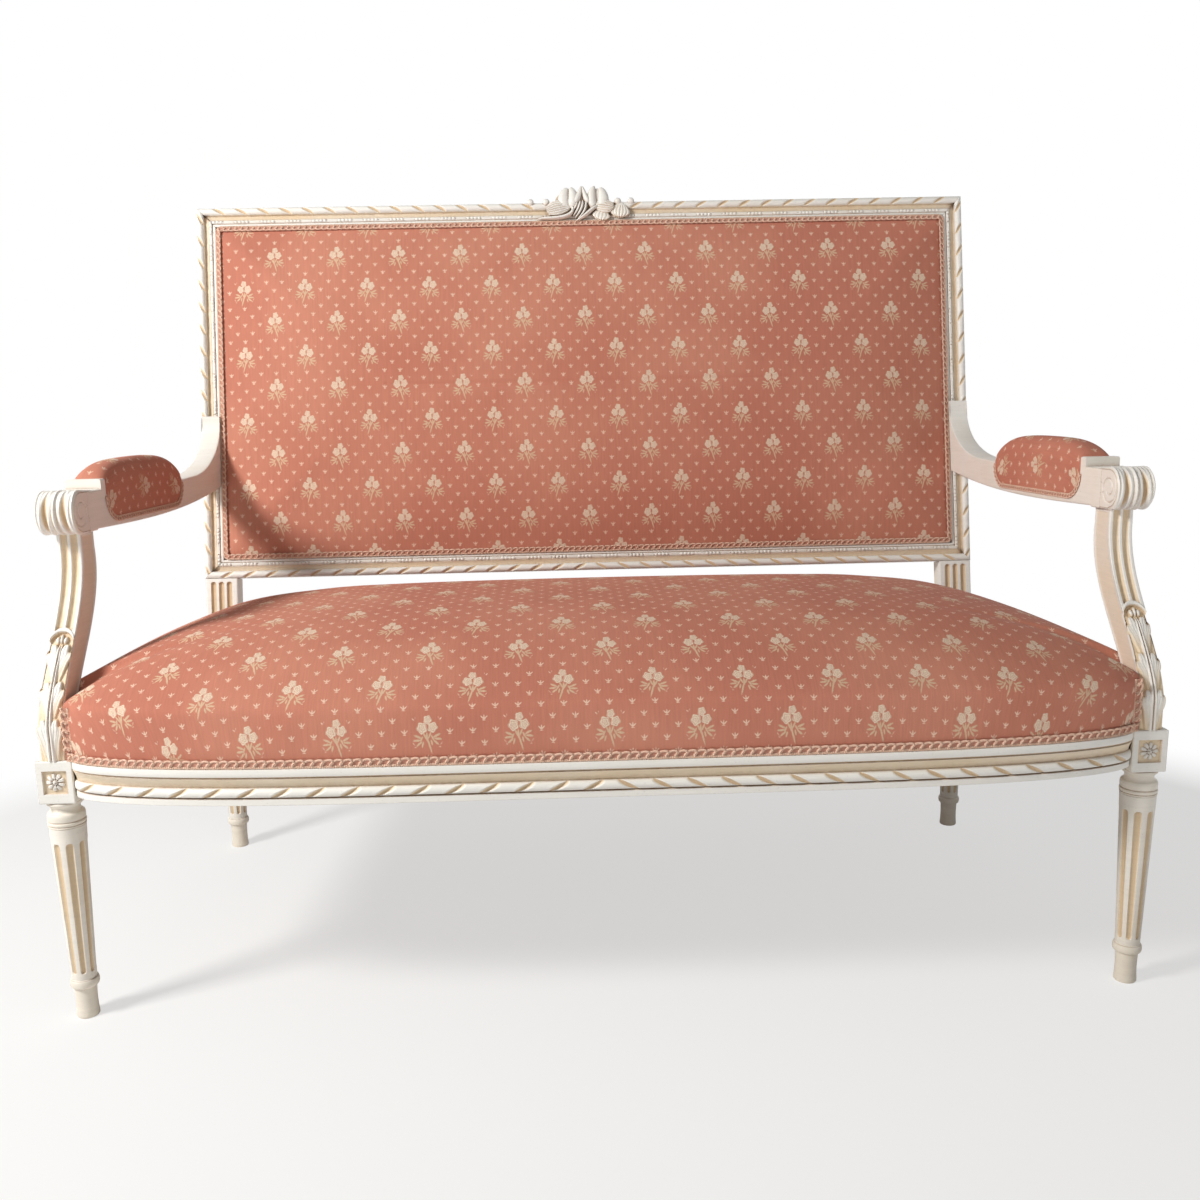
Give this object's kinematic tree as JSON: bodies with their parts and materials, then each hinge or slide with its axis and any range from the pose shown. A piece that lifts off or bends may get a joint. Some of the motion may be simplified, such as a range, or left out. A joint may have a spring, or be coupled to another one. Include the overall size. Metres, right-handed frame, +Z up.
{
  "type": "upholstered settee",
  "caption": "Open-armed settee with a carved, painted wood frame, turned fluted legs, a raked rectangular padded back, padded arms and a deep crowned sprung seat.",
  "frame": {"origin": "on the floor, at the middle of the settee's box seen from above", "axes": "+X to the right as seen from the front, +Y toward the back, +Z up; the front faces -Y"},
  "size_m": [1.3016, 0.766, 1.0399],
  "materials": {
    "ivory_paint": "satin",
    "bare_beech": "matte",
    "coral_fabric": "matte",
    "gimp_braid": "matte",
    "jute_webbing": "matte",
    "burlap_canvas": "matte",
    "horsehair": "matte",
    "spring_steel": "satin",
    "screw_steel": "satin"
  },
  "bodies": {
    "root": {"arm_left": "ivory_paint", "arm_pad_gimp_inner_left": "gimp_braid", "arm_pad_gimp_inner_right": "gimp_braid", "arm_pad_gimp_outer_left": "gimp_braid", "arm_pad_gimp_outer_right": "gimp_braid", "arm_pad_left": "coral_fabric", "arm_pad_right": "coral_fabric", "arm_right": "ivory_paint", "arm_support_left": "ivory_paint", "arm_support_right": "ivory_paint", "back_bottom_rail": "ivory_paint", "back_cover": "coral_fabric", "back_gimp": "gimp_braid", "back_seat_rail": "ivory_paint", "back_stuffing": "horsehair", "back_top_rail": "ivory_paint", "back_webbing": "jute_webbing", "brace_screw_front_front_left": "screw_steel", "brace_screw_front_front_right": "screw_steel", "brace_screw_front_side_left": "screw_steel", "brace_screw_front_side_right": "screw_steel", "brace_screw_rear_back_left": "screw_steel", "brace_screw_rear_back_right": "screw_steel", "brace_screw_rear_side_left": "screw_steel", "brace_screw_rear_side_right": "screw_steel", "corner_brace_front_left": "bare_beech", "corner_brace_front_right": "bare_beech", "corner_brace_rear_left": "bare_beech", "corner_brace_rear_right": "bare_beech", "front_leg_left": "ivory_paint", "front_leg_right": "ivory_paint", "front_seat_rail": "ivory_paint", "outside_back_cover": "coral_fabric", "outside_back_gimp": "gimp_braid", "rear_post_left": "ivory_paint", "rear_post_right": "ivory_paint", "seat_cover": "coral_fabric", "seat_gimp_back": "gimp_braid", "seat_gimp_corner_left": "gimp_braid", "seat_gimp_corner_right": "gimp_braid", "seat_gimp_front": "gimp_braid", "seat_gimp_side_left": "gimp_braid", "seat_gimp_side_right": "gimp_braid", "seat_spring_1": "spring_steel", "seat_spring_2": "spring_steel", "seat_spring_3": "spring_steel", "seat_spring_4": "spring_steel", "seat_spring_5": "spring_steel", "seat_spring_6": "spring_steel", "seat_spring_7": "spring_steel", "seat_spring_8": "spring_steel", "seat_stuffing": "horsehair", "seat_webbing": "jute_webbing", "side_seat_rail_left": "ivory_paint", "side_seat_rail_right": "ivory_paint", "spring_canvas": "burlap_canvas"}
  },
  "joints": []
}
